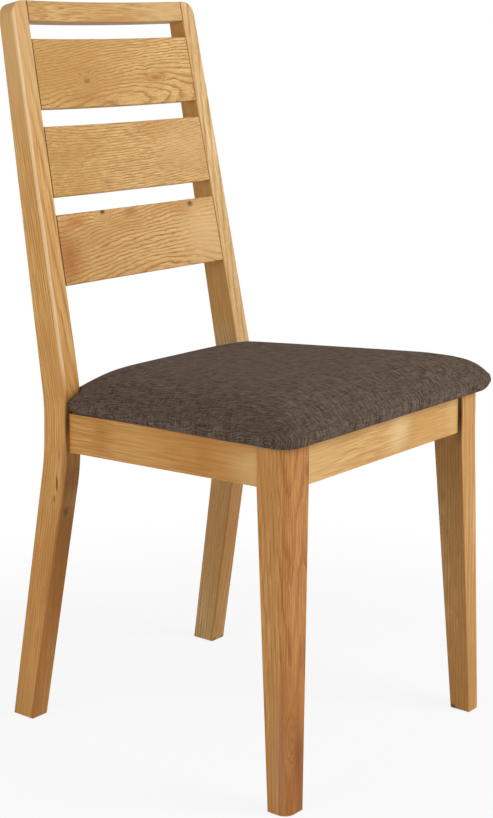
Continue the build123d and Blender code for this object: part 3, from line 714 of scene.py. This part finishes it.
def spoke_mesh(name, rings, tip, tail=None):
    """Mesh from rings of points, closed by a tip in the first ring and a tail in the last."""
    count = len(rings[0])
    points = [*rings, tip] if tail is None else [*rings, tip, tail]
    a = np.arange(count)
    b = (a + 1) % count
    last = (len(rings) - 1) * count
    faces = []
    for row in range(0, last, count):
        faces += np.c_[a + row, b + row, b + row + count, a + row + count].tolist()
    faces += np.c_[b, a, np.full(count, last + count)].tolist()
    if tail is not None:
        faces += np.c_[a + last, b + last, np.full(count, last + count + 1)].tolist()
    mesh = bpy.data.meshes.new(name)
    mesh.from_pydata(np.vstack(points).tolist(), [], faces)
    mesh.update()
    made = bpy.data.objects.new(name, mesh)
    scene.collection.objects.link(made)
    return made


NOTCH_DROP, NOTCH_REACH = 0.40, 0.045    # share by which it dips beside a post, and how far
NOTCH_FADE = 0.030                       # the dip sets in over this depth
TIP_DROP, TIP_REACH = 0.45, 0.080        # the same dip at the two corners before the posts
SLACK = 0.002                            # tolerance for telling the notches' points apart


def level_up(xy):
    """Height over the belly line: rolls up from the outline, lower round the posts.
    Height = belly + (crown - belly) x roll x dip beside the posts x dip before them."""
    roll = quarter(distance_to(xy, edge_line), PAD_ROLL)
    deep = np.clip((xy[:, 1] - post_low.y) / NOTCH_FADE, 0, 1)
    beside = 1 - NOTCH_DROP * deep * (1 - quarter(distance_to(xy, notch_side), NOTCH_REACH))
    before = (1 - TIP_DROP) + TIP_DROP * quarter(distance_to(xy, rear_tips), TIP_REACH)
    return PAD_BELLY + (PAD_HEIGHT - PAD_BELLY) * roll * beside * before


def level_down(xy):
    """Height under the belly line: tucks in to the board."""
    return PAD_BELLY * (1 - quarter(distance_to(xy, edge_line), PAD_TUCK))


in_notch = (np.abs(plan[:, 0]) > inner_x - SLACK) & (plan[:, 1] > post_low.y - SLACK)
in_notch &= np.abs(plan[:, 0]) < side_x(post_low.y) - 2 * SLACK
notch_side = plan[in_notch & (plan[:, 1] > post_low.y + SLACK / 2)]
rear_tips = np.array([(side_x(post_low.y), post_low.y), (-side_x(post_low.y), post_low.y)])
edge_line = plan[~in_notch]
hub = np.array([0.0, -0.05])
START_WIDTH = 1.01                       # the form starts a little wider than its plan,
START_CROWN = 0.90                       # and lower than its crown, which swells


def pad_rings(shares, level):
    """One ring of points for each share of the way from the hub to the outline."""
    return [stand(xy, level(xy)) for xy in (hub + (plan - hub) * s for s in shares)]


shares = START_WIDTH * np.sin(np.linspace(0.04, 1, 60) * math.pi / 2)
upper = pad_rings(shares, lambda xy: level_up(xy) * START_CROWN)
lower = pad_rings(shares[::-1][1:], level_down)
top = stand(hub[None, :], np.array([PAD_HEIGHT * START_CROWN]))
base = stand(hub[None, :], np.array([0.0]))
pad = spoke_mesh("seat_pad", upper + lower, top, base)
print("pad start:", len(pad.data.vertices), "points")

# %% [markdown]
# ## Filling it
# Real upholstery is a little taut: the foam presses out against cloth that is held at the
# board. So the closed form is remeshed to even squares, its underside is pinned, and the
# cloth solver blows it up for twenty frames with no gravity. How far a point may move is
# capped, and nothing may sink into the rails or lean into the posts.

# %% Cloth simulation, applied to the mesh
VOXEL = 0.0045
MOST_MOVE = 0.0055
PINNED_TO, FREE_FROM = 0.001, 0.004      # levels between which the pins' hold fades
FRAMES = 20


def coordinates(mesh):
    """The mesh's points as rows of x, y and z."""
    values = np.empty(len(mesh.vertices) * 3, np.float32)
    mesh.vertices.foreach_get("co", values)
    return values.reshape(-1, 3).astype(float)


def put(mesh, points):
    """Move the mesh's points to these places."""
    mesh.vertices.foreach_set("co", points.astype(np.float32).ravel())
    mesh.update()


def level_of(points):
    """Height over the sloping frame top, square to it."""
    return (points[:, 2] - frame_top(points[:, 1])) * math.cos(seat_tilt)


def apply_modifiers(piece):
    """Freeze what the modifiers show into the mesh."""
    ready = piece.evaluated_get(bpy.context.evaluated_depsgraph_get())
    frozen = bpy.data.meshes.new_from_object(ready)
    piece.modifiers.clear()
    old, piece.data = piece.data, frozen
    bpy.data.meshes.remove(old)


remesh = pad.modifiers.new("even squares", "REMESH")
remesh.mode = "VOXEL"
remesh.voxel_size = VOXEL
apply_modifiers(pad)
start = coordinates(pad.data)
held = np.clip((FREE_FROM - level_of(start)) / (FREE_FROM - PINNED_TO), 0, 1)
pins = pad.vertex_groups.new(name="board")
for weight in (1.0, 0.5):
    chosen = np.flatnonzero(held >= 1 if weight == 1 else (held > 0) & (held < 1))
    pins.add(chosen.tolist(), weight, "REPLACE")
cloth = pad.modifiers.new("cloth", "CLOTH")
for name, setting in {
        "quality": 6, "mass": 0.3, "tension_stiffness": 25, "compression_stiffness": 25,
        "bending_stiffness": 1.5, "use_pressure": True, "uniform_pressure_force": 4.0,
        "vertex_group_mass": "board"}.items():
    setattr(cloth.settings, name, setting)
cloth.settings.effector_weights.gravity = 0.0
cloth.point_cache.frame_start = 1
cloth.point_cache.frame_end = FRAMES
for number in range(1, FRAMES + 1):
    scene.frame_set(number)
apply_modifiers(pad)
scene.frame_set(1)
swollen = coordinates(pad.data)
move = swollen - start
size = np.linalg.norm(move, axis=1)
# Each move is cut to MOST_MOVE x tanh(size / MOST_MOVE), so none is longer than that.
move *= (MOST_MOVE * np.tanh(size / MOST_MOVE) / np.maximum(size, 1e-9))[:, None]
print("cloth moved at most", round(float(size.max()) * 1000, 1),
      "mm, on average", round(float(size.mean()) * 1000, 1))
put(pad.data, start + move)

# %% Smooth the filled pad
SOFT_FROM, SOFT_BY = 0.020, 0.035        # levels between which the smoothing sets in
STEPS = 4
GATHER = 0.0004                          # height of the small folds at the front corners
GATHER_RISE = 0.010                      # how fast they die out upwards

for polygon in pad.data.polygons:
    polygon.use_smooth = True
top_group = pad.vertex_groups.new(name="top")
high = np.clip((level_of(start) - SOFT_FROM) / (SOFT_BY - SOFT_FROM), 0, 1)
for step in range(1, STEPS + 1):
    chosen = np.flatnonzero(np.ceil(high * STEPS) == step)
    top_group.add(chosen.tolist(), step / STEPS, "REPLACE")
soften = pad.modifiers.new("soften", "SMOOTH")
soften.vertex_group = "top"
soften.factor = 0.5
soften.iterations = 40
finer = pad.modifiers.new("finer", "SUBSURF")
finer.levels = finer.render_levels = 1
apply_modifiers(pad)

# Lift what sank into the rails, and move what leans into a post to its nearest face.
points = coordinates(pad.data)
points[:, 2] -= np.minimum(level_of(points), 0) / math.cos(seat_tilt)
gap = post_inner(points[:, 2]) - POST_GAP
behind = (points[:, 1] > post_low.y - POST_GAP) & (np.abs(points[:, 0]) > gap)
into_front = points[:, 1] - (post_low.y - POST_GAP)
into_side = np.abs(points[:, 0]) - gap
use_side = behind & (into_side < into_front)
points[use_side, 0] = np.sign(points[use_side, 0]) * gap[use_side]
points[behind & ~use_side, 1] = post_low.y - POST_GAP

# Small gathers where the cloth is folded under at the front corners:
# height = GATHER x sin(17 angle + sin(7 angle)), less away from the corner and upwards.
corner_x = side_x(pad_front + PAD_CORNER) - PAD_CORNER
from_x = np.abs(points[:, 0]) - corner_x
from_y = pad_front + PAD_CORNER - points[:, 1]
angle = np.arctan2(from_y, from_x)
in_corner = np.clip(1.25 - np.abs(angle - math.pi / 4) / (math.pi / 4), 0, 1)
in_corner *= (from_x > 0) * (from_y > 0)
low_down = np.exp(-np.clip(level_of(points), 0, None) / GATHER_RISE)
fold = GATHER * np.sin(angle * 17 + np.sin(angle * 7)) * in_corner * low_down
points[:, 0] += fold * np.cos(angle) * np.sign(points[:, 0])
points[:, 1] -= fold * np.sin(angle)
put(pad.data, points)
print("pad:", len(pad.data.polygons), "faces, crown", round(float(points[:, 2].max()), 4))

# %% [markdown]
# ## The cloth on it
# The cover is a brown linen-look weave: threads of two browns, uneven in thickness, so
# that light and dark slubs run both ways. The pattern has to follow the cloth over the
# edge, so each point of the pad keeps a pair of lengths: how far it lies across and along
# the cloth, measured over the roll.

# %% Lengths on the cloth
PULL = 0.03                              # how fast the edge's pull dies out inwards


def cloth_lengths(points):
    """Across and along the cloth: the plan's place, plus the drop below the crown outwards."""
    drop = np.clip(PAD_HEIGHT - level_of(points), 0, None)
    side = side_x(points[:, 1]) - np.abs(points[:, 0])
    front = points[:, 1] - pad_front
    back = pad_back - points[:, 1]
    pull = [np.exp(-np.clip(inset, 0, None) / PULL) for inset in (side, front, back)]
    across = points[:, 0] + np.sign(points[:, 0]) * drop * pull[0]
    along = points[:, 1] - drop * pull[1] + drop * pull[2]
    return np.c_[across, along, np.zeros(len(points))]


lengths = pad.data.attributes.new("cloth_lengths", "FLOAT_VECTOR", "POINT")
lengths.data.foreach_set("vector", cloth_lengths(points).astype(np.float32).ravel())
print("lengths kept for", len(points), "points")

# %% The woven finish
THREAD = 0.0009                          # from one thread to the next
DARK_THREAD = (0.024, 0.014, 0.009)
PALE_THREAD = (0.175, 0.122, 0.088)
SLUB = (0.310, 0.235, 0.182)


def woven(name):
    """Plain weave: which thread lies on top = sin(pi u / THREAD) x sin(pi v / THREAD).
    Each thread has its own shade along its length, and slubs run along them."""
    f = Finish(name)
    kept = f.node("Attribute", result="Vector", attribute_name="cloth_lengths")
    u, v = f.split(kept)[:2]

    def streaks(fine_u, fine_v, shift, detail):
        return f.noise(f.point(f.times(u, fine_u), f.times(v, fine_v), shift), detail=detail)

    def shades(thread):
        return f.ramp(thread, [(0.39, DARK_THREAD), (0.61, PALE_THREAD)])

    warp, weft = streaks(1000, 56, 1.7, 1.0), streaks(90, 1000, 8.3, 1.0)
    slub_u = f.spread(streaks(820, 50, 4.0, 0.0), 0.60, 0.70)
    slub_v = f.spread(streaks(60, 820, 6.0, 0.0), 0.60, 0.70)
    crossing = f.times(*(f.math("SINE", f.times(axis, math.pi / THREAD)) for axis in (u, v)))
    shade = f.mix(f.spread(crossing, -0.24, 0.46), shades(warp), shades(weft))
    slubs = f.math("MAXIMUM", slub_u, f.times(slub_v, 0.8))
    shade = f.mix(f.times(slubs, 0.42), shade, SLUB)
    swell = f.add(f.math("ABSOLUTE", crossing), f.times(f.add(warp, weft), 0.8))
    swell = f.add(swell, f.add(slub_u, slub_v))
    return f.done(shade, f.spread(warp, 0.2, 0.8, 0.80, 0.95), f.bump(swell, 0.6, 0.0005),
                  Sheen_Weight=0.05, Sheen_Roughness=0.5, Sheen_Tint=(1.0, 0.82, 0.68, 1),
                  Specular_IOR_Level=0.10)


pad.data.materials.append(woven("cover_weave"))
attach(pad, "root")
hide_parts("seat_cover", "seat_foam")
print("cover woven")

# %% [markdown]
# ## The dust cover
# Underneath, a thin black non-woven cloth closes the pad. It is cut to the opening between
# the rails and stapled to the board all round. It is a grid of spokes again, sagging
# towards the middle and faintly rippled at its edge, and thickened after.

# %% Dust cover, stapled under the pad
DUST_GAP = 0.003
DUST_SAG = 0.0012
DUST_THICK = 0.0005
UNDER_BOARD = 0.0001                     # clear of the board
RIPPLE, RIPPLE_POINTS = 0.00012, 11      # height, and length in points of the outline
RAIL_THICK = 0.020


def inner_rail_x(y):
    """Half width between the side rails at depth y."""
    near_x, far_x = rail_high.x - RAIL_THICK, rail_low.x
    return near_x + (far_x - near_x) * (y - rail_low.y) / (rail_high.y - rail_low.y)


def dust_plan(count=360):
    """Outline of the cloth: the opening between the rails, cut round legs and posts."""
    front = front_high.y + DUST_GAP
    back = rear_low.y - DUST_GAP
    leg_x, leg_y = leg_low.x - DUST_GAP, rail_low.y + DUST_GAP
    post_y = post_low.y - DUST_GAP
    half = np.array([
        (0, back), (inner_x - DUST_GAP, back), (inner_x - DUST_GAP, post_y),
        (inner_rail_x(post_y) - DUST_GAP, post_y), (inner_rail_x(leg_y) - DUST_GAP, leg_y),
        (leg_x, leg_y), (leg_x, front), (0, front)])
    return walk(half, lambda length: np.linspace(0, length, count, endpoint=False))


dust_edge = dust_plan()
centre = np.array([0.0, -0.04])
waves = RIPPLE * np.sin(np.arange(len(dust_edge)) * 2 * math.pi / RIPPLE_POINTS)
rings = []
for s in np.linspace(0.02, 1, 26):
    sag = DUST_SAG * (1 - s ** 2) + (waves + 1.25 * RIPPLE) * s ** 6
    rings.append(stand(centre + (dust_edge - centre) * s, -UNDER_BOARD - sag))
lowest = stand(centre[None, :], np.array([-UNDER_BOARD - DUST_SAG]))
dust = spoke_mesh("dust_cloth", rings, lowest)
mesh = dust.data
work = bmesh.new()
work.from_mesh(mesh)
bmesh.ops.recalc_face_normals(work, faces=work.faces)
if sum(face.normal.z for face in work.faces) < 0:
    bmesh.ops.reverse_faces(work, faces=work.faces)
work.to_mesh(mesh)
work.free()
thick = dust.modifiers.new("thickness", "SOLIDIFY")
thick.thickness = DUST_THICK
thick.offset = -1


def non_woven(name):
    """Black non-woven cloth: pressed fibres with a fine dimpled pattern."""
    f = Finish(name)
    fibre = f.noise(f.here(), scale=1300.0, detail=4.0, roughness=0.7)
    dimple = f.node("TexVoronoi", [("Vector", f.here()), ("Scale", 420.0)])
    black = f.ramp(fibre, [(0.3, (0.012, 0.012, 0.013)), (0.75, (0.055, 0.055, 0.058))])
    return f.done(black, f.spread(fibre, 0.2, 0.8, 0.75, 0.95), f.bump(dimple, 0.4, 0.0002))


dust.data.materials.append(non_woven("dust_cloth"))
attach(dust, "root")
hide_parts("dust_cover")

# %% [markdown]
# ## The studio
# A plain pale floor and an even white surround. The floor and the surround look white to
# the lens and in reflections because of their colour there, not because of more light on
# the chair, and the floor keeps the chair's soft shadow. Three large soft lamps light the
# object at a plain level: the strongest from the front.

# %% Floor and surround
FLOOR_HALF = 6.0
FLOOR_GREY = (0.80, 0.80, 0.80, 1)
FADE_FROM, FADE_BY = 0.40, 1.0           # distances between which the floor turns white
NEAR_WHITE = 0.88                        # how white it already is under the chair
SURROUND_LIGHT = 0.24


def seen(f):
    """1 for what the lens, a gloss or a clear material sees, 0 for light that falls on things."""
    rays = f.tree.nodes.new("ShaderNodeLightPath").outputs
    share = rays["Is Camera Ray"]
    for kind in ("Is Glossy Ray", "Is Transmission Ray"):
        share = f.math("MAXIMUM", share, rays[kind])
    return share


floor_mesh = bpy.data.meshes.new("floor")
corners = [(-1, -1, 0), (1, -1, 0), (1, 1, 0), (-1, 1, 0)]
floor_mesh.from_pydata((np.array(corners) * FLOOR_HALF).tolist(), [], [(0, 1, 2, 3)])
floor = bpy.data.objects.new("floor", floor_mesh)
scene.collection.objects.link(floor)
paint = bpy.data.materials.new("floor_paint")
paint.use_nodes = True
f = Network(paint.node_tree)
share = f.times(f.spread(f.length(f.here()), FADE_FROM, FADE_BY, NEAR_WHITE, 1.0), seen(f))
matt = f.node("BsdfDiffuse", [("Color", FLOOR_GREY)])
f.end("Material", f.node("MixShader", [(0, share), (1, matt), (2, f.node("Emission"))]))
floor_mesh.materials.append(paint)

world = bpy.data.worlds.new("surround")
scene.world = world
world.use_nodes = True
f = Network(world.node_tree)
strength = f.spread(seen(f), 0.0, 1.0, SURROUND_LIGHT, 1.0, smooth=False)
f.end("World", f.node("Background", [("Color", (1, 1, 1, 1)), ("Strength", strength)]))
print("floor", 2 * FLOOR_HALF, "m square, surround light", SURROUND_LIGHT)

# %% Lamps
AIM = Vector((0, 0, 0.5))


def lamp(name, place, width, watts):
    """A square soft lamp that faces the chair and isn't seen itself."""
    data = bpy.data.lights.new(name, "AREA")
    data.size = width
    data.energy = watts
    made = bpy.data.objects.new(name, data)
    scene.collection.objects.link(made)
    made.location = place
    made.rotation_euler = (AIM - Vector(place)).to_track_quat("-Z", "Y").to_euler()
    made.visible_camera = False


lamp("front_lamp", (0.7, -2.3, 1.5), 1.4, 49)
lamp("left_lamp", (-1.7, 0.1, 0.9), 1.0, 12)
lamp("top_lamp", (0.2, -0.2, 2.8), 1.4, 4)
scene.view_settings.view_transform = "Standard"
print("three lamps")
